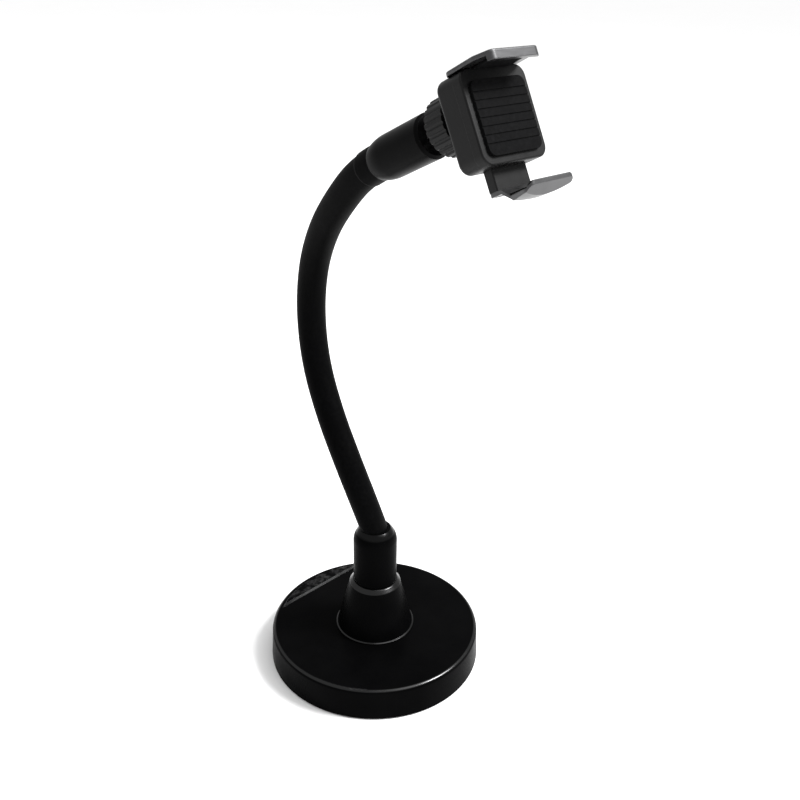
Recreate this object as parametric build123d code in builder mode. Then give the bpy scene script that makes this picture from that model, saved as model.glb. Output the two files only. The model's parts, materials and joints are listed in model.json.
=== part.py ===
"""Phone stand: weighted round base, bendable neck, ball joint and a sprung phone clamp.

Millimetres, +Z up. The origin is the centre of the underside that the stand rests on, and the
clamp faces -Y. The neck is a chain of equal lengths, bent at rest into a gentle S.
"""

import os
from math import cos, radians, sin

from build123d import *

os.makedirs("parts", exist_ok=True)

# Base
base_r = 75.9
base_foot_r = 77.1
base_top = 23.8
base_low = 1.0
base_wall = 2.6
base_edge = 3.0
foot_r = 72.0
foot_h = 2.0
plate_h = 1.5
weight_top = 20.0
screw_circle_r = 60.0
step_from = 59.5
step_turn = 3.0
step_rim = 4.0
step_h = 1.2

# Hub, its stud and the lower ferrule
hub_foot_r = 27.8
hub_top_r = 18.6
hub_top = 63.3
hub_shoulder = 2.6
hub_wall = 4.0
stud_r = 6.0
stud_low = 4.5
stud_top = 80.0
nut_pocket_r = 14.0
nut_pocket_top = 14.0
seam = 0.6
low_ferrule_r = 15.65
low_ferrule_shoulder = 97.0
low_ferrule_top = 106.8
low_mouth_r = 11.0
low_plug_r = 13.4
low_plug_top = 92.0

# Neck: equal lengths between pivots, each one turned from the one below it, in degrees
neck_r = 9.7
core_r = 6.5
core_bore_r = 2.5
pitch = 36.0
entry_z = 103.2
entry_lean = (-5, -17.5)
entry_len = 22.6
neck_bend = [-18, -9, 5, 18, 22, 20, 13, 4, 13]
neck_sway = [9, 6, 3, 1, -3, -3, -1, 3, 8]
exit_len = 17.5
joint_gap = 0.3
skirt = 5.0
core_low = 10.4
core_high = 6.9

# Upper ferrule and ball joint
up_ferrule_r = 12.1
up_ferrule_len = 45.0
up_shoulder = 11.0
up_mouth_r = 10.3
stud_hole = 16.0
collar_r = 5.5
collar_h = 1.5
ball_r = 8.5
ball_reach = 62.0
shank_r = 4.0
ball_neck_r = 3.5
fit = 0.05
liner_h = 1.45
rim_n = -3.8

# Clamp, measured from the ball's centre: across (x), up the clamp (v), towards the phone (n)
clamp_tilt = 27.4
clamp_w = 44.0
body_low = -29.0
body_high = 16.1
body_back = 14.0
body_split = 26.0
body_front = 31.5
body_wall = 3.2
cavity_front = 28.0
grip_h = 1.5
phone_w = 58.0
phone_h = 12.5
top_grip = 15.2
jaw_pad_h = 0.9
jaw_h = 2.1
lip_h = 2.6
lip_cover = 1.7
lip_w = 31.0
jaw_w = 40.0
jaw_flare = 8.0
top_jaw_back = 20.0
low_jaw_back = 18.0
belly_h = 1.8
low_jaw_rise = 4.3
jaw_bend = (27.0, 31.5)
boss_r = 12.5
ring_r = 15.0
ring_back = -7.0
ring_front = 6.0
ring_ribs = 24
rod_x = 14.5
rod_r = 1.5
rod_n = 22.0
tongue_w = 24.0
tongue_h = 6.0
ear_low = -16.0
ear_high = -11.0
spring_turns = 11
slide_fit = 0.3

LOW = (Align.CENTER, Align.CENTER, Align.MIN)


def save(piece, name):
    piece.part.label = name
    export_step(piece.part, f"parts/{name}.step")


def side(plane):
    """The half-plane through the axis of `plane`, drawn as (radius, height)."""
    return Plane(plane.origin, x_dir=plane.x_dir, z_dir=-plane.y_dir)


def axis_of(plane):
    return Axis(plane.origin, plane.z_dir)


# ---------------------------------------------------------------- base
plate_low = foot_h
weight_low = plate_low + plate_h + 0.2


def screw_spots():
    return PolarLocations(screw_circle_r, 4, start_angle=45)


with BuildPart() as base_shell:
    with Locations((0, 0, base_low)):
        Cone(base_foot_r, base_r, base_top - base_low, align=LOW)
        Cylinder(base_r - base_wall, weight_top - base_low, align=LOW, mode=Mode.SUBTRACT)
    rims = base_shell.edges().filter_by(GeomType.CIRCLE).group_by(Axis.Z)[-1]
    fillet(rims, base_edge)
    # the shallow step across the back of the top
    with BuildSketch(Plane.XY.offset(base_top)):
        Circle(base_r - step_rim)
        with Locations(Location((0, 0, 0), (0, 0, step_turn))):
            with Locations((0, step_from - base_r)):
                Rectangle(2 * base_r, 2 * base_r, mode=Mode.SUBTRACT)
    extrude(amount=step_h, taper=45)
    Hole(stud_r + 0.2)
save(base_shell, "base_shell")

with BuildPart() as base_weight:
    with Locations((0, 0, weight_low)):
        Cylinder(base_r - base_wall - 0.6, weight_top - 0.2 - weight_low, align=LOW)
        Cylinder(nut_pocket_r, nut_pocket_top - weight_low, align=LOW, mode=Mode.SUBTRACT)
    chamfer(base_weight.edges().filter_by(GeomType.CIRCLE).group_by(Axis.Z)[-1], 1)
    Hole(stud_r + 0.2)
    with Locations(Plane.XY.offset(weight_low)):
        with screw_spots():
            Cylinder(1.9, 9, align=LOW, mode=Mode.SUBTRACT)
save(base_weight, "base_weight")

with BuildPart() as bottom_plate:
    with Locations((0, 0, plate_low)):
        Cylinder(base_r - base_wall - 0.3, plate_h, align=LOW)
        with screw_spots():
            Hole(2.2)
save(bottom_plate, "bottom_plate")

with BuildPart() as rubber_foot:
    Cylinder(foot_r, foot_h, align=LOW)
    fillet(rubber_foot.edges().group_by(Axis.Z)[0], 0.5)
    with screw_spots():
        Hole(5)
save(rubber_foot, "rubber_foot")

with BuildPart() as plate_screws:
    with Locations(Plane.XY.offset(plate_low)):
        with screw_spots():
            Cylinder(1.9, 10, align=LOW)
    with Locations(Plane.XY.offset(plate_low - 1.4)):
        with screw_spots():
            Cylinder(3.8, 1.4, align=LOW)
            Box(4, 0.8, 0.6, align=LOW, mode=Mode.SUBTRACT)
            Box(0.8, 4, 0.6, align=LOW, mode=Mode.SUBTRACT)
save(plate_screws, "plate_screws")

# ---------------------------------------------------------------- hub
with BuildPart() as hub_cone:
    with BuildSketch(Plane.XZ) as cone_half:
        with BuildLine():
            Polyline(
                (stud_r + 0.2, hub_top),
                (hub_top_r - hub_shoulder, hub_top),
                (hub_top_r, hub_top - hub_shoulder),
                (hub_foot_r, base_top + 1.6),
                (hub_foot_r + 0.9, base_top + 1.2),
                (hub_foot_r + 0.9, base_top),
                (hub_foot_r - hub_wall, base_top),
                (hub_top_r - hub_wall, hub_top - 12),
                (stud_r + 0.2, hub_top - 12),
                close=True,
            )
        make_face()
        shoulder = cone_half.vertices().sort_by_distance((hub_top_r - 1, hub_top - 1))[:2]
        fillet(shoulder, 1.6)
    revolve(axis=Axis.Z)
save(hub_cone, "hub_cone")

with BuildPart() as hub_stud:
    with Locations((0, 0, stud_low)):
        Cylinder(stud_r, stud_top - stud_low, align=LOW)
    chamfer(hub_stud.edges().filter_by(GeomType.CIRCLE), 0.8)
save(hub_stud, "hub_stud")

with BuildPart() as hub_washer:
    with Locations((0, 0, nut_pocket_top - 1.6)):
        Cylinder(12, 1.6, align=LOW)
        Hole(stud_r + 0.3)
save(hub_washer, "hub_washer")

with BuildPart() as hub_nut:
    with BuildSketch(Plane.XY.offset(nut_pocket_top - 1.6)):
        RegularPolygon(9.5, 6, major_radius=False)
        Circle(stud_r, mode=Mode.SUBTRACT)
    extrude(amount=-7)
save(hub_nut, "hub_nut")

with BuildPart() as seam_washer:
    with Locations((0, 0, hub_top)):
        Cylinder(low_ferrule_r - 1.2, seam, align=LOW)
        Hole(stud_r + 0.3)
save(seam_washer, "seam_washer")

# ---------------------------------------------------------------- neck frames
entry = Plane(Location((0, 0, entry_z), (0, 0, 0)) * Rotation(*entry_lean, 0))
links = [entry.offset(entry_len - pitch)]
for bend, sway in zip(neck_bend, neck_sway):
    pivot = links[-1].offset(pitch)
    links.append(Plane(pivot.location * Rotation(bend, 0, 0) * Rotation(0, sway, 0)))
exit_plane = links[-1].offset(exit_len)
ball_at = exit_plane.offset(ball_reach).origin

# ---------------------------------------------------------------- lower ferrule
with BuildPart() as lower_ferrule:
    with BuildSketch(Plane.XZ):
        with BuildLine():
            start = (0, hub_top + seam)
            Polyline(start, (low_ferrule_r, hub_top + seam), (low_ferrule_r, low_ferrule_shoulder))
            ThreePointArc(
                (low_ferrule_r, low_ferrule_shoulder),
                (low_ferrule_r - 1.3, low_ferrule_shoulder + 5.3),
                (low_mouth_r, low_ferrule_top),
            )
            Polyline((low_mouth_r, low_ferrule_top), (0, low_ferrule_top), start)
        make_face()
    revolve(axis=Axis.Z)
    fillet(lower_ferrule.edges().group_by(Axis.Z)[0], 0.6)
    with Locations((0, 0, hub_top)):
        Cylinder(low_plug_r, low_plug_top - hub_top, align=LOW, mode=Mode.SUBTRACT)
        Cylinder(neck_r, entry_z - hub_top, align=LOW, mode=Mode.SUBTRACT)
    with Locations(entry):
        Sphere(neck_r, mode=Mode.SUBTRACT)
        Cylinder(neck_r, entry_len, align=LOW, mode=Mode.SUBTRACT)
save(lower_ferrule, "lower_ferrule")

with BuildPart() as lower_plug:
    with Locations((0, 0, hub_top + seam)):
        Cylinder(low_plug_r, low_plug_top - hub_top - seam, align=LOW)
        Hole(stud_r)
    with Locations((0, 0, stud_top + 1)):
        Cylinder(core_r, low_plug_top - stud_top, align=LOW, mode=Mode.SUBTRACT)
save(lower_plug, "lower_plug")

# ---------------------------------------------------------------- neck
with BuildPart() as entry_sleeve:
    with Locations((0, 0, low_plug_top)):
        Cylinder(neck_r, entry_z - low_plug_top, align=LOW)
    with Locations(entry):
        Sphere(neck_r)
        Cylinder(neck_r, entry_len, align=LOW)
        with Locations((0, 0, entry_len)):
            Sphere(neck_r)
    with Locations((0, 0, low_plug_top - neck_r)):
        Cylinder(neck_r + 1, neck_r, align=LOW, mode=Mode.SUBTRACT)
        Cylinder(core_r, neck_r + entry_z - low_plug_top, align=LOW, mode=Mode.SUBTRACT)
    with Locations(entry):
        Sphere(core_r, mode=Mode.SUBTRACT)
        Cylinder(core_r, entry_len + neck_r, align=LOW, mode=Mode.SUBTRACT)
save(entry_sleeve, "neck_sleeve_0")

with BuildPart() as entry_core:
    with Locations((0, 0, stud_top + 1)):
        Cylinder(core_r, entry_z - stud_top - 1, align=LOW)
    with Locations(entry):
        Sphere(core_r)
        Cylinder(core_r, entry_len + core_high, align=LOW)
        Cylinder(core_bore_r, entry_len + core_high, align=LOW, mode=Mode.SUBTRACT)
save(entry_core, "neck_core_0")

for number, link in enumerate(links[1:], start=1):
    last = number == len(neck_bend)
    run = exit_len + 10 if last else pitch
    with BuildPart() as sleeve:
        with Locations(link.offset(skirt)):
            Cylinder(neck_r, run - skirt, align=LOW)
        if not last:
            with Locations(link.offset(run)):
                Sphere(neck_r)
        with Locations(link):
            Sphere(neck_r + joint_gap, mode=Mode.SUBTRACT)
            Cylinder(core_r, run + neck_r, align=LOW, mode=Mode.SUBTRACT)
    save(sleeve, f"neck_sleeve_{number}")

    with BuildPart() as core:
        with Locations(link.offset(core_low)):
            core_run = run - core_low + (stud_hole - 4 if last else core_high)
            Cylinder(core_r, core_run, align=LOW)
            Cylinder(core_bore_r, core_run, align=LOW, mode=Mode.SUBTRACT)
    save(core, f"neck_core_{number}")

# ---------------------------------------------------------------- upper ferrule and ball
core_end = 10 + stud_hole - 4
with BuildPart() as upper_ferrule:
    with BuildSketch(side(exit_plane)) as ferrule_half:
        with BuildLine():
            ThreePointArc(
                (up_mouth_r, 0),
                ((up_mouth_r + up_ferrule_r) / 2 + 0.45, up_shoulder / 2),
                (up_ferrule_r, up_shoulder),
            )
            Polyline(
                (up_ferrule_r, up_shoulder),
                (up_ferrule_r, up_ferrule_len - 1.5),
                (up_ferrule_r - 1.5, up_ferrule_len),
                (0, up_ferrule_len),
                (0, 0),
                (up_mouth_r, 0),
            )
        make_face()
    revolve(axis=axis_of(exit_plane))
    with Locations(exit_plane):
        Cylinder(neck_r, 10, align=LOW, mode=Mode.SUBTRACT)
        Cylinder(core_r, core_end, align=LOW, mode=Mode.SUBTRACT)
    with Locations(exit_plane.offset(up_ferrule_len - stud_hole)):
        Cylinder(shank_r + fit, stud_hole, align=LOW, mode=Mode.SUBTRACT)
save(upper_ferrule, "upper_ferrule")

ball_plane = exit_plane.offset(ball_reach)
with BuildPart() as ball_stud:
    with Locations(exit_plane.offset(up_ferrule_len - stud_hole + 0.5)):
        Cylinder(shank_r, stud_hole, align=LOW)
    with BuildSketch(exit_plane.offset(up_ferrule_len + 0.2)):
        RegularPolygon(collar_r, 6, major_radius=True)
    extrude(amount=collar_h)
    with Locations(exit_plane.offset(up_ferrule_len + 0.2)):
        Cylinder(ball_neck_r, ball_reach - up_ferrule_len, align=LOW)
    with Locations(ball_plane):
        Sphere(ball_r)
save(ball_stud, "ball_stud")

# ---------------------------------------------------------------- clamp frame
facing = (0, -cos(radians(clamp_tilt)), sin(radians(clamp_tilt)))
clamp = Plane(ball_at, x_dir=(1, 0, 0), z_dir=facing)
liner_out = ball_r + fit + liner_h
socket_r = liner_out + fit
body_mid = (body_low + body_high) / 2
body_len = body_high - body_low


def seen_from_front(depth):
    """A sketch plane across the clamp, `depth` in front of the ball's centre."""
    return clamp.offset(depth)


def seen_from_top(level):
    """A sketch plane square to the clamp's length: x across, y from front to back."""
    origin = clamp.from_local_coords((0, level, 0))
    return Plane(origin, x_dir=(1, 0, 0), z_dir=clamp.y_dir)


with BuildPart() as ball_liner:
    with Locations(clamp):
        Sphere(liner_out)
        Sphere(ball_r + fit, mode=Mode.SUBTRACT)
    split(bisect_by=clamp.offset(rim_n), keep=Keep.TOP)
    # slits that let the liner close on the ball
    for turn in range(4):
        with Locations(clamp.location * Rotation(0, 0, 45 + 90 * turn)):
            with Locations((ball_r, 0, 0)):
                Box(8, 1, 8, mode=Mode.SUBTRACT)
save(ball_liner, "ball_liner")

# ---------------------------------------------------------------- clamp housing
corner_x = clamp_w / 2 - 2.8
corners = [(corner_x, 10.4), (-corner_x, 10.4), (corner_x, -24.5), (-corner_x, -24.5)]
cavity_w = 2 * (rod_x + 3.0)
cavity_low = body_low + body_wall
cavity_high = body_high - body_wall - 1.0
rod_low = cavity_low - 2
rod_high = cavity_high + 2
jaw_screw_x = 8.0
top_screw_n = body_split + 2.6
top_screw_reach = 3.6

with BuildPart() as housing_back:
    with BuildSketch(seen_from_front(body_back)):
        with Locations((0, body_mid)):
            RectangleRounded(clamp_w, body_len, 6)
    extrude(amount=body_split - body_back)
    back_edges = housing_back.faces().sort_by(axis_of(clamp))[0].edges()
    fillet(back_edges, 2.5)
    with BuildSketch(seen_from_front(body_back + 2.5)):
        with Locations((0, (cavity_low + cavity_high) / 2)):
            Rectangle(cavity_w, cavity_high - cavity_low)
    extrude(amount=body_split, mode=Mode.SUBTRACT)
    # socket for the ball, standing out of the back
    with BuildSketch(seen_from_front(rim_n - 0.2)):
        Circle(boss_r)
    extrude(amount=body_back + 2.5 - rim_n + 0.2)
    with Locations(clamp):
        Sphere(socket_r, mode=Mode.SUBTRACT)
    # slot for the sliding tongue, bores for the guide rods and the four screws
    with BuildSketch(seen_from_top(body_low - 1)):
        with Locations((0, -rod_n)):
            Rectangle(tongue_w + 2 * slide_fit, tongue_h + 2 * slide_fit)
    extrude(amount=body_wall + 2, mode=Mode.SUBTRACT)
    with BuildSketch(seen_from_top(rod_low)):
        with Locations((rod_x, -rod_n), (-rod_x, -rod_n)):
            Circle(rod_r)
    extrude(amount=rod_high - rod_low, mode=Mode.SUBTRACT)
    with BuildSketch(seen_from_front(body_back)):
        with Locations(*corners):
            Circle(1.1)
    extrude(amount=body_split, mode=Mode.SUBTRACT)
    with BuildSketch(seen_from_front(body_back)):
        with Locations(*corners):
            Circle(2)
    extrude(amount=3, mode=Mode.SUBTRACT)
save(housing_back, "housing_back")

with BuildPart() as housing_front:
    with BuildSketch(seen_from_front(body_split)):
        with Locations((0, body_mid)):
            RectangleRounded(clamp_w, body_len, 6)
    extrude(amount=body_front - body_split)
    front_edges = housing_front.faces().sort_by(axis_of(clamp))[-1].edges()
    fillet(front_edges, 1)
    with BuildSketch(seen_from_front(body_split)):
        with Locations((0, (cavity_low + cavity_high) / 2)):
            Rectangle(cavity_w, cavity_high - cavity_low)
    extrude(amount=cavity_front - body_split, mode=Mode.SUBTRACT)
    with BuildSketch(seen_from_front(body_split)):
        with Locations(*corners):
            Circle(0.9)
    extrude(amount=4, mode=Mode.SUBTRACT)
    with BuildSketch(seen_from_top(body_high)):
        with Locations((jaw_screw_x, -top_screw_n), (-jaw_screw_x, -top_screw_n)):
            Circle(1.1)
    extrude(amount=-top_screw_reach, mode=Mode.SUBTRACT)
save(housing_front, "housing_front")

with BuildPart() as housing_screws:
    with BuildSketch(seen_from_front(body_back + 3)):
        with Locations(*corners):
            Circle(0.9)
    extrude(amount=body_split - body_back)
    with BuildSketch(seen_from_front(body_back + 1.4)):
        with Locations(*corners):
            Circle(1.8)
            RegularPolygon(0.8, 6, mode=Mode.SUBTRACT)
    extrude(amount=1.6)
save(housing_screws, "housing_screws")

with BuildPart() as grip_pad:
    with BuildSketch(seen_from_front(body_front)):
        with Locations((0, body_mid - 1)):
            RectangleRounded(clamp_w - 8, body_len - 10, 4)
    extrude(amount=grip_h)
    # ribs across the pad
    with BuildSketch(seen_from_front(body_front + grip_h - 0.4)):
        with Locations((0, body_mid - 1)):
            with GridLocations(0, 4, 1, 7):
                Rectangle(clamp_w, 0.8)
    extrude(amount=1, mode=Mode.SUBTRACT)
save(grip_pad, "grip_pad")

with BuildPart() as guide_rods:
    with BuildSketch(seen_from_top(rod_low)):
        with Locations((rod_x, -rod_n), (-rod_x, -rod_n)):
            Circle(rod_r)
    extrude(amount=rod_high - rod_low)
save(guide_rods, "guide_rods")

# ---------------------------------------------------------------- locking ring
with BuildPart() as lock_ring:
    with BuildSketch(seen_from_front(ring_back)) as ring_outline:
        Circle(ring_r)
        with PolarLocations(ring_r + 0.6, ring_ribs):
            Circle(1.2, mode=Mode.SUBTRACT)
    extrude(amount=ring_front - ring_back)
    chamfer(lock_ring.faces().sort_by(axis_of(clamp))[0].outer_wire().edges(), 0.5)
    with BuildSketch(seen_from_front(rim_n - 0.5)):
        Circle(boss_r + 0.08)
    extrude(amount=ring_front - ring_back + 5, mode=Mode.SUBTRACT)
    with BuildSketch(seen_from_front(ring_back)):
        Circle(10.2)
    extrude(amount=ring_front - ring_back, mode=Mode.SUBTRACT)
save(lock_ring, "lock_ring")

# ---------------------------------------------------------------- jaws
lip_back = body_front + grip_h + phone_h
jaw_front = lip_back + lip_h
flare_n = jaw_front - jaw_flare
low_grip = top_grip - phone_w
top_inner = top_grip + jaw_pad_h
low_inner = low_grip - jaw_pad_h


def make_jaw(inside, outward, outside, half_widths, corner_r, screw_n):
    """A plate under the phone's edge, with a lip that hooks over it.

    `inside` is the inner profile seen from the side, from the back to the lip, and `outside` is
    the outer one, from the front to the back. `half_widths` gives the half width at each depth,
    from the back to the front.
    """
    inner = inside[-1][1]
    outer = outside[-1][1]
    hook = inner - outward * (jaw_pad_h + lip_cover)
    lip = [(lip_back, inner), (lip_back, hook), (jaw_front, hook)]
    right = [(half, -depth) for depth, half in half_widths]
    left = [(-half, -depth) for depth, half in reversed(half_widths)]
    with BuildPart() as piece:
        with BuildSketch(Plane(ball_at, x_dir=facing, z_dir=(-1, 0, 0))):
            with BuildLine():
                Polyline(*inside, *lip, *outside, close=True)
            make_face()
        extrude(amount=jaw_w / 2, both=True)
        with BuildSketch(seen_from_top(low_inner - 20)):
            with BuildLine():
                FilletPolyline(*right, *left, radius=corner_r, close=True)
            make_face()
        extrude(amount=100, mode=Mode.INTERSECT)
        with BuildSketch(seen_from_top(outer)):
            with Locations((jaw_screw_x, -screw_n), (-jaw_screw_x, -screw_n)):
                Circle(1.3)
        extrude(amount=-outward * jaw_h, mode=Mode.SUBTRACT)
        with BuildSketch(seen_from_top(outer)):
            with Locations((jaw_screw_x, -screw_n), (-jaw_screw_x, -screw_n)):
                Circle(2.4)
        extrude(amount=-outward * 1.4, mode=Mode.SUBTRACT)
    return piece


def make_jaw_pad(inner, outward):
    """The thin rubber strip that the phone's edge bears on."""
    with BuildPart() as piece:
        with BuildSketch(seen_from_top(inner)):
            with Locations((0, -(body_front + lip_back) / 2)):
                Rectangle(lip_w - 6, lip_back - body_front - 1)
        extrude(amount=-outward * jaw_pad_h)
    return piece


def make_jaw_screws(inner, outward, screw_n, reach):
    """Two countersunk screws through a jaw into what carries it."""
    screws = [(jaw_screw_x, -screw_n), (-jaw_screw_x, -screw_n)]
    outer = inner + outward * jaw_h
    with BuildPart() as piece:
        with BuildSketch(seen_from_top(outer - outward * 1.4)):
            with Locations(*screws):
                Circle(2.2)
        extrude(amount=outward * 1.2)
        with BuildSketch(seen_from_top(outer)):
            with Locations(*screws):
                RegularPolygon(0.9, 6)
        extrude(amount=-outward * 0.9, mode=Mode.SUBTRACT)
        with BuildSketch(seen_from_top(outer - outward * 1.4)):
            with Locations(*screws):
                Circle(1.1)
        extrude(amount=-outward * reach)
    return piece


top_outer = top_inner + jaw_h
low_outer = low_inner - jaw_h
top_widths = [(top_jaw_back, jaw_w / 2), (flare_n, jaw_w / 2), (jaw_front, lip_w / 2)]
low_widths = [(low_jaw_back, 12), (jaw_bend[1], 12), (jaw_front - 4, 16), (jaw_front, 15)]

top_inside = [(top_jaw_back, top_inner)]
top_outside = [(jaw_front, top_outer), (top_jaw_back, top_outer)]
with BuildPart() as top_jaw:
    add(make_jaw(top_inside, 1, top_outside, top_widths, 4, top_screw_n).part)
    top_face = top_jaw.faces().sort_by(Axis(ball_at, clamp.y_dir))[-1]
    fillet(top_face.outer_wire().edges(), 0.8)
save(top_jaw, "top_jaw")
save(make_jaw_pad(top_inner, 1), "top_jaw_pad")
save(make_jaw_screws(top_inner, 1, top_screw_n, top_screw_reach), "top_jaw_screws")

belly = low_outer - belly_h
crease = low_grip + lip_cover - 2.1
rear_inner = low_inner + low_jaw_rise
rear_outer = rear_inner - jaw_h
low_inside = [(low_jaw_back, rear_inner), (jaw_bend[0], rear_inner), (jaw_bend[1], low_inner)]
low_outside = [
    (jaw_front, crease),
    (jaw_front - 7, belly),
    (jaw_bend[1] + 3, belly),
    (jaw_bend[0] - 0.5, rear_outer),
    (low_jaw_back, rear_outer),
]
with BuildPart() as bottom_jaw:
    add(make_jaw(low_inside, -1, low_outside, low_widths, 3, rod_n).part)
    # the rounded outline seen from the front
    with BuildSketch(seen_from_front(0)):
        with BuildLine():
            Polyline(
                (-18.5, low_outer + 1.2),
                (-lip_w / 2 - 0.5, crease),
                (3 - lip_w / 2, low_grip + lip_cover),
                (3 - lip_w / 2, rear_inner + 1),
                (lip_w / 2 - 3, rear_inner + 1),
                (lip_w / 2 - 3, low_grip + lip_cover),
                (lip_w / 2 + 0.5, crease),
                (18.5, low_outer + 1.2),
            )
            ThreePointArc((18.5, low_outer + 1.2), (0, belly), (-18.5, low_outer + 1.2))
        make_face()
    extrude(amount=100, mode=Mode.INTERSECT)
save(bottom_jaw, "bottom_jaw")
save(make_jaw_pad(low_inner, -1), "bottom_jaw_pad")
save(make_jaw_screws(rear_inner, -1, rod_n, 7.4), "bottom_jaw_screws")

# ---------------------------------------------------------------- sliding tongue and springs
with BuildPart() as slide_tongue:
    with BuildSketch(seen_from_top(rear_inner)):
        with Locations((0, -rod_n)):
            Rectangle(tongue_w, tongue_h)
    extrude(amount=ear_high - rear_inner)
    with BuildSketch(seen_from_top(ear_low)):
        with Locations((0, -rod_n)):
            Rectangle(cavity_w - 2 * slide_fit, tongue_h)
    extrude(amount=ear_high - ear_low)
    fillet(slide_tongue.edges().filter_by(Axis(ball_at, clamp.y_dir)), 0.8)
    with BuildSketch(seen_from_top(ear_low)):
        with Locations((rod_x, -rod_n), (-rod_x, -rod_n)):
            Circle(rod_r + 0.08)
    extrude(amount=ear_high - ear_low, mode=Mode.SUBTRACT)
    with BuildSketch(seen_from_top(rear_inner)):
        with Locations((jaw_screw_x, -rod_n), (-jaw_screw_x, -rod_n)):
            Circle(1.1)
    extrude(amount=7, mode=Mode.SUBTRACT)
save(slide_tongue, "slide_tongue")

spring_wire_r = 0.3
spring_r = rod_r + spring_wire_r + 0.35
spring_len = cavity_high - ear_high - 2 * spring_wire_r - 0.4
for name, x in (("left_spring", -rod_x), ("right_spring", rod_x)):
    foot = clamp.from_local_coords((x, ear_high + spring_wire_r + 0.2, rod_n))
    with BuildPart() as spring:
        with BuildLine() as coil:
            Helix(spring_len / spring_turns, spring_len, spring_r, foot, clamp.y_dir)
        with BuildSketch(Plane(coil.line @ 0, z_dir=coil.line % 0)):
            Circle(spring_wire_r)
        sweep()
    save(spring, name)
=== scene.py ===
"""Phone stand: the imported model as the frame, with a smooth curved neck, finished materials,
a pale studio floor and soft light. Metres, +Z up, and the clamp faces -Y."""

import json
from math import cos, pi, radians, sin

import bmesh
import bpy
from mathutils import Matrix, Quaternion, Vector


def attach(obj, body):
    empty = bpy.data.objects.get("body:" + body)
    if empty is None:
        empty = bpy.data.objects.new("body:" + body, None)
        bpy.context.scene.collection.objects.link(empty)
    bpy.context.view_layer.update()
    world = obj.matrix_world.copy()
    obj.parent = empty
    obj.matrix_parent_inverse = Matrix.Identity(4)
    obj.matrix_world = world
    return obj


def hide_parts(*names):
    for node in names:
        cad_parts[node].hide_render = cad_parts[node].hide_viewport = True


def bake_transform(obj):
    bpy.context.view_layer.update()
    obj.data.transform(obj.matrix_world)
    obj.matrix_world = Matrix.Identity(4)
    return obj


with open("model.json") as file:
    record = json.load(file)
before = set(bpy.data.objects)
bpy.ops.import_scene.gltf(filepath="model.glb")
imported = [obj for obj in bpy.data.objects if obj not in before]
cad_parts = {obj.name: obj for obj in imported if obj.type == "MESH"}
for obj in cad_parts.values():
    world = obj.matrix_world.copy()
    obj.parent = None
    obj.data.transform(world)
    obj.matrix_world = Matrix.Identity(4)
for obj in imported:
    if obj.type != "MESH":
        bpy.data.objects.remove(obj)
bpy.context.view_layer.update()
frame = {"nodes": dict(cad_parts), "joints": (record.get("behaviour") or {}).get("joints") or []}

# Neck: the rubber cover and the wound core inside it
COVER_R = 0.0097
COVER_WALL = 0.0031
CORE_R = 0.0065
CORE_WALL = 0.0040
HALF_LINK = 0.018
ENTRY_BASE = Vector((0, 0, 0.1032))
COVER_FOOT = 0.0920
CORE_FOOT = 0.0812
EXIT_DEPTH = 0.0098
CUFF_LEN = 0.013
CUFF_STEP = 0.00055
CUFF_RAMP = 0.0012
CUFF_REACH = 0.0030
COVER_SIDES = 96
CORE_SIDES = 40
STATIONS = 16

# Finish
EDGE_RADIUS = 0.0002
EDGE_MASK_RADIUS = 0.0006
METAL_WORN_RADIUS = 0.0005
STEP_LEVEL = 0.0242
SLOPE_RAMP = 0.15

# Stage, lights and camera
FLOOR_RADIUS = 12
WORLD_STRENGTH = 0.8
SUN_TOWARDS = Vector((0.3, -0.35, 1.0))
SUN_SPREAD_DEG = 50
SUN_STRENGTH = 1.15
KEY_PLACE = Vector((1.19, -1.19, 2.24))
KEY_AIM = Vector((0, 0, 0.2))
KEY_SIDE = 0.8
KEY_WATTS = 110
EYE = Vector((-0.37322, -0.42935, 0.48337))
AIM = Vector((0.00453, -0.01892, 0.21271))
ROLL_DEG = 0.921
LENS_MM = 42.75
SENSOR_MM = 36


# ---------------------------------------------------------------- materials
def start_material(name, metallic=0.0, specular=0.5):
    """A new material with its node tree, its Principled shader and its object coordinates."""
    material = bpy.data.materials.new(name)
    material.use_nodes = True
    tree = material.node_tree
    shader = tree.nodes["Principled BSDF"]
    shader.inputs["Metallic"].default_value = metallic
    shader.inputs["Specular IOR Level"].default_value = specular
    place = tree.nodes.new("ShaderNodeTexCoord").outputs["Object"]
    return material, tree, shader, place


def stretched(tree, place, scale):
    """The coordinates scaled per axis, so that a noise on them is drawn out."""
    mapping = tree.nodes.new("ShaderNodeMapping")
    mapping.inputs["Scale"].default_value = scale
    tree.links.new(place, mapping.inputs["Vector"])
    return mapping.outputs["Vector"]


def noise(tree, place, scale, detail=4.0, roughness=0.55):
    """A smooth random value, near 0.5, from a noise of this scale per metre."""
    texture = tree.nodes.new("ShaderNodeTexNoise")
    texture.inputs["Scale"].default_value = scale
    texture.inputs["Detail"].default_value = detail
    texture.inputs["Roughness"].default_value = roughness
    tree.links.new(place, texture.inputs["Vector"])
    return texture.outputs["Fac"]


def spread(tree, value, low, high, start=0.3, stop=0.7):
    """value's stretch from start to stop, carried to low and high."""
    node = tree.nodes.new("ShaderNodeMapRange")
    for name, number in (("From Min", start), ("From Max", stop), ("To Min", low), ("To Max", high)):
        node.inputs[name].default_value = number
    tree.links.new(value, node.inputs["Value"])
    return node.outputs["Result"]


def arithmetic(tree, operation, first, second):
    """One Math node on two values, each a number or a socket."""
    node = tree.nodes.new("ShaderNodeMath")
    node.operation = operation
    for socket, value in zip(node.inputs, (first, second)):
        if isinstance(value, (int, float)):
            socket.default_value = value
        else:
            tree.links.new(value, socket)
    return node.outputs[0]


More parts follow.
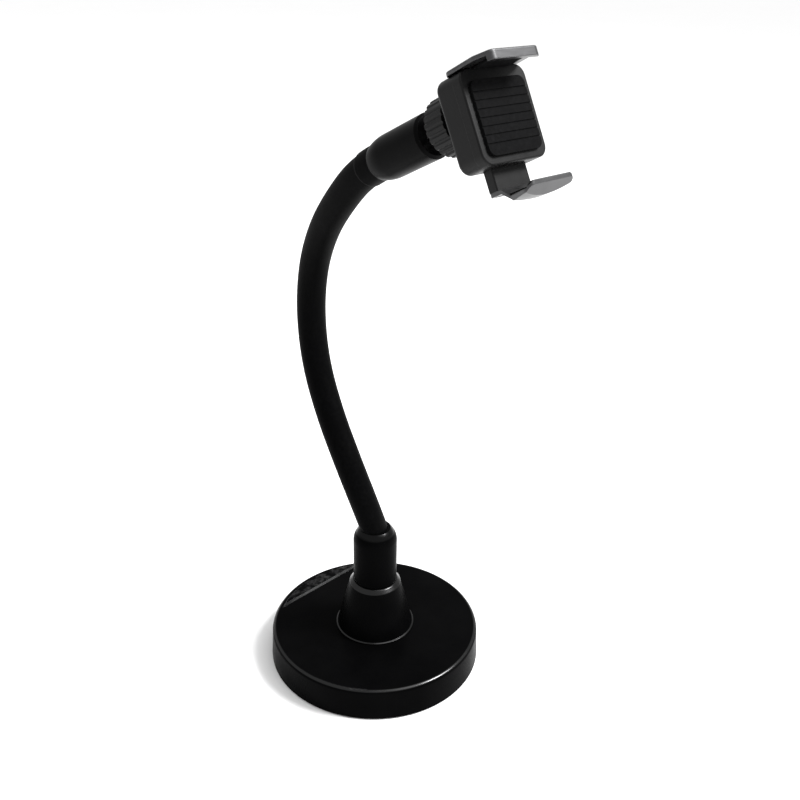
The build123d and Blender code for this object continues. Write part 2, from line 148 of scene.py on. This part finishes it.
def blend_colours(tree, share, first, second):
    """first at share 0 and second at share 1, each a colour or a socket."""
    node = tree.nodes.new("ShaderNodeMix")
    node.data_type = "RGBA"
    for name, colour in (("A", first), ("B", second)):
        if isinstance(colour, tuple):
            node.inputs[name].default_value = (*colour, 1)
        else:
            tree.links.new(colour, node.inputs[name])
    tree.links.new(share, node.inputs["Factor"])
    return node.outputs["Result"]


def bevel_edge_mask(tree, radius):
    """1 on edges and corners and 0 on the flat: how far a rounded normal leaves the real one."""
    rounded = tree.nodes.new("ShaderNodeBevel")
    rounded.inputs["Radius"].default_value = radius
    real = tree.nodes.new("ShaderNodeNewGeometry")
    agree = tree.nodes.new("ShaderNodeVectorMath")
    agree.operation = "DOT_PRODUCT"
    tree.links.new(rounded.outputs["Normal"], agree.inputs[0])
    tree.links.new(real.outputs["Normal"], agree.inputs[1])
    return spread(tree, agree.outputs["Value"], 1, 0, 0.70, 0.95)


def bump(tree, shader, height, distance, strength, edge_radius=0.0):
    """Fine relief on the shader's normal, over edges softened by edge_radius."""
    node = tree.nodes.new("ShaderNodeBump")
    node.inputs["Strength"].default_value = strength
    node.inputs["Distance"].default_value = distance
    tree.links.new(height, node.inputs["Height"])
    if edge_radius:
        soft = tree.nodes.new("ShaderNodeBevel")
        soft.inputs["Radius"].default_value = edge_radius
        tree.links.new(soft.outputs["Normal"], node.inputs["Normal"])
    tree.links.new(node.outputs["Normal"], shader.inputs["Normal"])


def scuffs(tree, place, level):
    """Patches of scuffed surface above this height, thinning out between them."""
    split = tree.nodes.new("ShaderNodeSeparateXYZ")
    tree.links.new(place, split.inputs["Vector"])
    above = arithmetic(tree, "GREATER_THAN", split.outputs["Z"], level)
    patches = spread(tree, noise(tree, place, 160, 6, 0.7), 0, 1, 0.46, 0.68)
    return arithmetic(tree, "MULTIPLY", above, patches)


def turned_edges(tree, slope):
    """1 on a turned piece's rounded edges, where the surface leans more than its sides do."""
    split = tree.nodes.new("ShaderNodeSeparateXYZ")
    tree.links.new(tree.nodes.new("ShaderNodeTexCoord").outputs["Normal"], split.inputs["Vector"])
    leaning = spread(tree, split.outputs["Z"], 0, 1, slope, slope + SLOPE_RAMP)
    not_flat = spread(tree, split.outputs["Z"], 1, 0, 0.93, 0.99)
    return arithmetic(tree, "MULTIPLY", leaning, not_flat)


def moulded_black(
    name, dark, pale, rubbed_and_highlight, rough, grain, relief, specular, polished=None, scuffed_above=None
):
    """Black plastic or paint: cloudy colour, fine grain, edges lightened as painted highlight and wear, and
    faint handling marks.

    The turned edges that lean more than the given slope are made metallic and take the lighter edge colour: a
    painted highlight band as well as rubbed wear.
    """
    material, tree, shader, place = start_material(name, specular=specular)
    clouds = noise(tree, place, 26, 5, 0.6)
    marks = noise(tree, stretched(tree, place, (1, 1, 0.35)), 140, 6, 0.65)
    edges = bevel_edge_mask(tree, EDGE_MASK_RADIUS)
    # Edge mask times handling marks: where the lighter colour goes, a painted edge highlight as well as wear.
    wear_and_highlight = arithmetic(tree, "MULTIPLY", edges, spread(tree, marks, 0.35, 1.0))
    if polished:
        # Turned-edge slopes: metallic and lighter in colour, a painted highlight band.
        highlight_band = turned_edges(tree, polished)
        tree.links.new(highlight_band, shader.inputs["Metallic"])
        edges = arithmetic(tree, "MAXIMUM", edges, highlight_band)
        wear_and_highlight = arithmetic(tree, "MAXIMUM", wear_and_highlight, highlight_band)
    if scuffed_above:
        wear_and_highlight = arithmetic(tree, "MAXIMUM", wear_and_highlight, scuffs(tree, place, scuffed_above))
    plain = blend_colours(tree, spread(tree, clouds, 0, 1), dark, pale)
    # Edges, turned slopes and scuffs take the lighter colour: painted highlight on the edges and slopes, wear
    # on the scuffs.
    tree.links.new(blend_colours(tree, wear_and_highlight, plain, rubbed_and_highlight), shader.inputs["Base Color"])
    handled = spread(tree, marks, rough - 0.05, rough + 0.07)
    patchy = arithmetic(tree, "ADD", handled, spread(tree, clouds, -0.03, 0.03))
    smoother = arithmetic(tree, "MULTIPLY", edges, 0.10)
    tree.links.new(arithmetic(tree, "SUBTRACT", patchy, smoother), shader.inputs["Roughness"])
    bump(tree, shader, noise(tree, place, grain, 3, 0.6), relief, 0.55, EDGE_RADIUS)
    return material


def rubber(name, dark, pale, rough, grain, relief):
    """Soft black rubber: matte, a little dusty, with a fine cast skin."""
    material, tree, shader, place = start_material(name, specular=0.015)
    clouds = noise(tree, place, 34, 5, 0.6)
    dust = noise(tree, place, 420, 6, 0.7)
    dusty = spread(tree, dust, 0.0, 1.0, 0.42, 0.75)
    share = arithmetic(tree, "MULTIPLY", spread(tree, clouds, 0.1, 1.0), dusty)
    tree.links.new(blend_colours(tree, share, dark, pale), shader.inputs["Base Color"])
    tree.links.new(spread(tree, clouds, rough - 0.05, rough + 0.06), shader.inputs["Roughness"])
    bump(tree, shader, noise(tree, place, grain, 4, 0.65), relief, 0.5, EDGE_RADIUS)
    return material


def metal(name, dark, pale, rough, brush, relief, brushed=(1, 1, 1), edge_radius=EDGE_RADIUS):
    """Bare or plated metal: brushed lines or fine grain, smudges and brighter edges."""
    material, tree, shader, place = start_material(name, metallic=1.0)
    lines = noise(tree, stretched(tree, place, brushed), brush, 5, 0.65)
    smudges = noise(tree, place, 60, 4, 0.6)
    edges = bevel_edge_mask(tree, METAL_WORN_RADIUS)
    share = arithmetic(tree, "MAXIMUM", spread(tree, lines, 0.15, 0.85), edges)
    tree.links.new(blend_colours(tree, share, dark, pale), shader.inputs["Base Color"])
    smudged = spread(tree, smudges, rough - 0.04, rough + 0.06)
    patchy = arithmetic(tree, "ADD", smudged, spread(tree, lines, -0.04, 0.04))
    tree.links.new(patchy, shader.inputs["Roughness"])
    bump(tree, shader, lines, relief, 0.4, edge_radius)
    return material


def nylon(name):
    """Natural nylon: milky, a little translucent."""
    material, tree, shader, place = start_material(name, specular=0.4)
    clouds = noise(tree, place, 90, 4, 0.6)
    colour = blend_colours(tree, clouds, (0.62, 0.6, 0.53), (0.76, 0.74, 0.68))
    tree.links.new(colour, shader.inputs["Base Color"])
    tree.links.new(spread(tree, clouds, 0.42, 0.55), shader.inputs["Roughness"])
    shader.inputs["Subsurface Weight"].default_value = 0.1
    shader.inputs["Subsurface Radius"].default_value = (0.002, 0.002, 0.002)
    bump(tree, shader, noise(tree, place, 1500, 3), 0.00003, 0.4, EDGE_RADIUS)
    return material


def cast_iron(name):
    """Raw cast iron: dark, rough and sandy."""
    material, tree, shader, place = start_material(name, metallic=0.6, specular=0.4)
    sand = noise(tree, place, 700, 6, 0.7)
    clouds = noise(tree, place, 40, 4)
    colour = blend_colours(tree, clouds, (0.05, 0.05, 0.052), (0.11, 0.1, 0.095))
    tree.links.new(colour, shader.inputs["Base Color"])
    tree.links.new(spread(tree, sand, 0.6, 0.85), shader.inputs["Roughness"])
    bump(tree, shader, sand, 0.0002, 0.8)
    return material


# The lighter edge colours below are painted edge highlights as well as wear; the slopes mark turned edges
# lightened as a painted highlight band.
MATERIALS = {
    "base": moulded_black(
        "satin_black_base",
        dark=(0.0008, 0.0008, 0.0009),
        pale=(0.0018, 0.0018, 0.0019),
        rubbed_and_highlight=(0.03, 0.03, 0.0303),
        rough=0.28,
        grain=2600,
        relief=0.00002,
        specular=0.01,
        polished=0.62,
        scuffed_above=STEP_LEVEL,
    ),
    "hub": moulded_black(
        "satin_black_hub",
        dark=(0.0008, 0.0008, 0.0009),
        pale=(0.002, 0.002, 0.0021),
        rubbed_and_highlight=(0.028, 0.028, 0.0283),
        rough=0.3,
        grain=1900,
        relief=0.00002,
        specular=0.012,
        polished=0.42,
    ),
    "ferrule": moulded_black(
        "satin_black_ferrule",
        dark=(0.0008, 0.0008, 0.0009),
        pale=(0.0018, 0.0018, 0.0019),
        rubbed_and_highlight=(0.012, 0.012, 0.0121),
        rough=0.3,
        grain=2100,
        relief=0.00002,
        specular=0.01,
        polished=0.45,
    ),
    "socket": moulded_black(
        "satin_black_socket",
        dark=(0.0008, 0.0008, 0.0009),
        pale=(0.0018, 0.0018, 0.0019),
        rubbed_and_highlight=(0.02, 0.02, 0.0202),
        rough=0.3,
        grain=2100,
        relief=0.00002,
        specular=0.03,
    ),
    "holder": moulded_black(
        "moulded_black_holder",
        dark=(0.002, 0.002, 0.0021),
        pale=(0.005, 0.005, 0.0052),
        rubbed_and_highlight=(0.012, 0.012, 0.0122),
        rough=0.42,
        grain=1500,
        relief=0.00006,
        specular=0.16,
    ),
    "neck": rubber("black_rubber_neck", (0.0011, 0.0011, 0.0012), (0.003, 0.003, 0.0031), 0.5, 2400, 0.00004),
    "grip": rubber("grip_rubber", (0.004, 0.004, 0.0042), (0.009, 0.009, 0.0093), 0.62, 1700, 0.00006),
    "foot": rubber("foot_rubber", (0.008, 0.008, 0.008), (0.03, 0.029, 0.028), 0.75, 1200, 0.00008),
    "silver": metal(
        "satin_silver",
        dark=(0.05, 0.05, 0.0512),
        pale=(0.085, 0.085, 0.087),
        rough=0.36,
        brush=260,
        relief=0.00002,
        brushed=(0.12, 1, 1),
        edge_radius=0.0007,
    ),
    "steel": metal("plated_steel", (0.42, 0.42, 0.42), (0.6, 0.6, 0.61), 0.3, 900, 0.00002),
    "ball": metal("polished_ball_steel", (0.55, 0.55, 0.56), (0.66, 0.66, 0.67), 0.16, 500, 0.00001),
    "wound": metal("wound_neck_wire", (0.22, 0.22, 0.23), (0.4, 0.4, 0.42), 0.4, 700, 0.00003),
    "alloy": metal("turned_alloy", (0.45, 0.45, 0.46), (0.6, 0.6, 0.62), 0.35, 800, 0.00002, (1, 1, 8)),
    "nylon": nylon("liner_nylon"),
    "iron": cast_iron("cast_iron_weight"),
}

FINISH_OF = {
    "base_shell": "base",
    "bottom_plate": "base",
    "base_weight": "iron",
    "rubber_foot": "foot",
    "seam_washer": "foot",
    "hub_cone": "hub",
    "lower_ferrule": "ferrule",
    "upper_ferrule": "socket",
    "lower_plug": "alloy",
    "ball_stud": "ball",
    "ball_liner": "nylon",
    "housing_back": "holder",
    "housing_front": "holder",
    "lock_ring": "holder",
    "slide_tongue": "holder",
    "grip_pad": "grip",
    "top_jaw_pad": "grip",
    "bottom_jaw_pad": "grip",
    "top_jaw": "silver",
    "bottom_jaw": "silver",
}


def finish_cad_nodes():
    """Gives every CAD node its material; the screws, rods, nut, stud and springs are steel."""
    for name, node in frame["nodes"].items():
        node.data.materials.clear()
        node.data.materials.append(MATERIALS[FINISH_OF.get(name, "steel")])


# ---------------------------------------------------------------- neck
def neck_stations():
    """The neck's centre line as {piece: [(centre, direction, across), ...]}, one smooth curve.

    Between the middles of two links it is a quadratic curve whose corner is their joint. The
    across directions are carried along without twist, so neighbouring rings meet.
    """
    joints = {j["child"]: j for j in frame["joints"]}
    bodies = ["base"] + [f"neck_{number}" for number in range(1, 9)] + ["neck_end"]
    pivots = [Vector(joints[body]["pos_m"]) for body in bodies[1:]]
    first = (pivots[0] - ENTRY_BASE).normalized()
    last = Vector(joints["ball"]["axis"]).normalized()
    middles = [pivots[0] - first * HALF_LINK]
    middles += [(a + b) / 2 for a, b in zip(pivots, pivots[1:])]
    middles += [pivots[-1] + last * HALF_LINK]

    runs = {}
    direction = first
    across = first.orthogonal().normalized()
    for number, pivot in enumerate(pivots):
        low, high = middles[number], middles[number + 1]
        run = []
        for step in range(STATIONS + 1):
            t = step / STATIONS
            centre = (1 - t) ** 2 * low + 2 * t * (1 - t) * pivot + t * t * high
            heading = ((1 - t) * (pivot - low) + t * (high - pivot)).normalized()
            across = direction.rotation_difference(heading) @ across
            direction = heading
            run.append((centre, direction.copy(), across.copy()))
        runs[bodies[number], bodies[number + 1]] = run
    return runs


def ring(bm, station, radius, count):
    """A circle of new vertices around a station of the centre line."""
    centre, direction, across = station
    beside = direction.cross(across)
    turns = [2 * pi * i / count for i in range(count)]
    return [bm.verts.new(centre + radius * (across * cos(a) + beside * sin(a))) for a in turns]


def join_rings(bm, first, second):
    """The band of four-sided faces between two rings."""
    count = len(first)
    faces = []
    for i in range(count):
        j = (i + 1) % count
        faces.append(bm.faces.new((first[i], first[j], second[j], second[i])))
    return faces


def tube(name, stations, radii, wall, material, count):
    """A closed tube with a wall, its outside at `radii`, and sharp rims at its two ends."""
    bm = bmesh.new()
    outside = [ring(bm, station, radius, count) for station, radius in zip(stations, radii)]
    inside = [ring(bm, station, min(radii) - wall, count) for station in stations]
    for a, b in zip(outside, outside[1:]):
        join_rings(bm, a, b)
    for a, b in zip(inside, inside[1:]):
        join_rings(bm, b, a)
    for a, b in ((inside[0], outside[0]), (outside[-1], inside[-1])):
        for face in join_rings(bm, a, b):
            for edge in face.edges:
                if len(set(edge.verts) & set(a)) == 2 or len(set(edge.verts) & set(b)) == 2:
                    edge.smooth = False
    for face in bm.faces:
        face.smooth = True
    mesh = bpy.data.meshes.new(name)
    bm.to_mesh(mesh)
    bm.free()
    mesh.materials.append(material)
    piece = bpy.data.objects.new(name, mesh)
    bpy.context.scene.collection.objects.link(piece)
    return piece


def cuff_radius(distance):
    """The cover's radius at this distance below the upper ferrule's mouth."""
    ramp = min(max((CUFF_LEN - distance) / CUFF_RAMP, 0), 1)
    return COVER_R + CUFF_STEP * ramp * ramp * (3 - 2 * ramp)


def make_neck():
    """The cover and the core as one smooth bend each over every joint, and their fixed ends."""
    runs = neck_stations()
    last_pair = list(runs)[-1]
    for number, (pair, stations) in enumerate(runs.items(), start=1):
        radii = [COVER_R] * len(stations)
        if pair == last_pair:
            stations = with_cuff_stations(stations)
            end = stations[-1][0]
            radii = [cuff_radius((end - centre).length) for centre, _, _ in stations]
        cover = tube(f"neck_cover_{number}", stations, radii, COVER_WALL, MATERIALS["neck"], COVER_SIDES)
        radii = [CORE_R] * len(stations)
        core = tube(f"neck_wire_{number}", stations, radii, CORE_WALL, MATERIALS["wound"], CORE_SIDES)
        for piece, node, slot in ((cover, "neck_sleeve_", "neck_rubber"), (core, "neck_core_", "neck_steel")):
            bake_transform(piece)
            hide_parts(f"{node}{number}")
    make_neck_ends(runs)


def with_cuff_stations(stations):
    """The last run, with extra rings where the cuff steps up."""
    end = stations[-1][0]
    fine = []
    for a, b in zip(stations, stations[1:]):
        fine.append(a)
        if abs((end - (a[0] + b[0]) / 2).length - CUFF_LEN) < CUFF_REACH:
            for t in (0.25, 0.5, 0.75):
                fine.append(tuple(p.lerp(q, t) for p, q in zip(a, b)))
    fine.append(stations[-1])
    return fine


def make_neck_ends(runs):
    """The stretches of cover and core that are held inside the two ferrules."""
    foot, top = list(runs.values())[0][0], list(runs.values())[-1][-1]
    upright = Vector((0, 0, 1))
    across = foot[2]
    level = (across - upright * across.dot(upright)).normalized()
    bend = [(ENTRY_BASE, upright, across), (foot[0], foot[1].normalized(), across)]
    beyond = (top[0] + top[1] * EXIT_DEPTH, top[1], top[2])
    parts = (
        ("cover", COVER_R, COVER_WALL, COVER_FOOT, "neck_sleeve_", "neck_rubber", "neck", COVER_SIDES),
        ("wire", CORE_R, CORE_WALL, CORE_FOOT, "neck_core_", "neck_steel", "wound", CORE_SIDES),
    )
    for word, radius, wall, low, node, slot, finish, count in parts:
        start = (Vector((0, 0, low)), upright, level)
        below = tube(f"neck_{word}_foot", [start, *bend], [radius] * 3, wall, MATERIALS[finish], count)
        above = tube(f"neck_{word}_end", [top, beyond], [radius] * 2, wall, MATERIALS[finish], count)
        for piece, body, number in ((below, "base", 0), (above, "neck_end", 9)):
            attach(piece, body)
            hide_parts(f"{node}{number}")


# ---------------------------------------------------------------- springs
def make_springs():
    """Copies of the two springs, fixed where the model places them, in place of the hidden CAD springs."""
    slide = next(j for j in frame["joints"] if j["child"] == "slider")
    up = Vector(slide["axis"]).normalized()
    if up.z < 0:
        up = -up
    for name in ("left_spring", "right_spring"):
        mesh = frame["nodes"][name].data.copy()
        coil = bpy.data.objects.new(f"{name}_coil", mesh)
        bpy.context.scene.collection.objects.link(coil)
        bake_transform(coil)
        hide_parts(name)


# ---------------------------------------------------------------- stage, light and camera
def make_stage():
    """A plain pale floor."""
    bm = bmesh.new()
    bmesh.ops.create_circle(bm, cap_ends=True, segments=96, radius=FLOOR_RADIUS)
    mesh = bpy.data.meshes.new("floor")
    bm.to_mesh(mesh)
    bm.free()
    floor = bpy.data.objects.new("floor", mesh)
    bpy.context.scene.collection.objects.link(floor)
    material, tree, shader, place = start_material("pale_floor", specular=0.2)
    colour = blend_colours(tree, noise(tree, place, 3), (0.86, 0.86, 0.86), (0.88, 0.88, 0.88))
    tree.links.new(colour, shader.inputs["Base Color"])
    shader.inputs["Roughness"].default_value = 0.8
    mesh.materials.append(material)


def softbox(name, place, aim, side, watts):
    """A square area light that the camera doesn't see."""
    data = bpy.data.lights.new(name, "AREA")
    data.shape = "RECTANGLE"
    data.size = side
    data.size_y = side
    data.energy = watts
    lamp = bpy.data.objects.new(name, data)
    lamp.location = place
    lamp.rotation_mode = "QUATERNION"
    lamp.rotation_quaternion = (aim - place).to_track_quat("-Z", "Y")
    lamp.visible_camera = False
    bpy.context.scene.collection.objects.link(lamp)


def overhead(name, towards, spread_deg, strength):
    """A very wide, distant light, so the whole floor is lit evenly."""
    data = bpy.data.lights.new(name, "SUN")
    data.angle = radians(spread_deg)
    data.energy = strength
    lamp = bpy.data.objects.new(name, data)
    lamp.rotation_mode = "QUATERNION"
    lamp.rotation_quaternion = towards.to_track_quat("Z", "Y")
    bpy.context.scene.collection.objects.link(lamp)


def make_light():
    world = bpy.data.worlds.new("studio")
    world.use_nodes = True
    backdrop = world.node_tree.nodes["Background"]
    backdrop.inputs["Color"].default_value = (1, 1, 1, 1)
    backdrop.inputs["Strength"].default_value = WORLD_STRENGTH
    bpy.context.scene.world = world
    overhead("overhead", SUN_TOWARDS, SUN_SPREAD_DEG, SUN_STRENGTH)
    softbox("key", KEY_PLACE, KEY_AIM, KEY_SIDE, KEY_WATTS)
    bpy.context.scene.view_settings.view_transform = "Standard"


def make_camera():
    data = bpy.data.cameras.new("camera")
    data.sensor_width = SENSOR_MM
    data.lens = LENS_MM
    camera = bpy.data.objects.new("camera", data)
    level = (AIM - EYE).to_track_quat("-Z", "Y")
    camera.location = EYE
    camera.rotation_mode = "QUATERNION"
    camera.rotation_quaternion = level @ Quaternion((0, 0, 1), radians(ROLL_DEG))
    bpy.context.scene.collection.objects.link(camera)
    bpy.context.scene.camera = camera


make_camera()
make_stage()
make_light()
finish_cad_nodes()
make_neck()
make_springs()
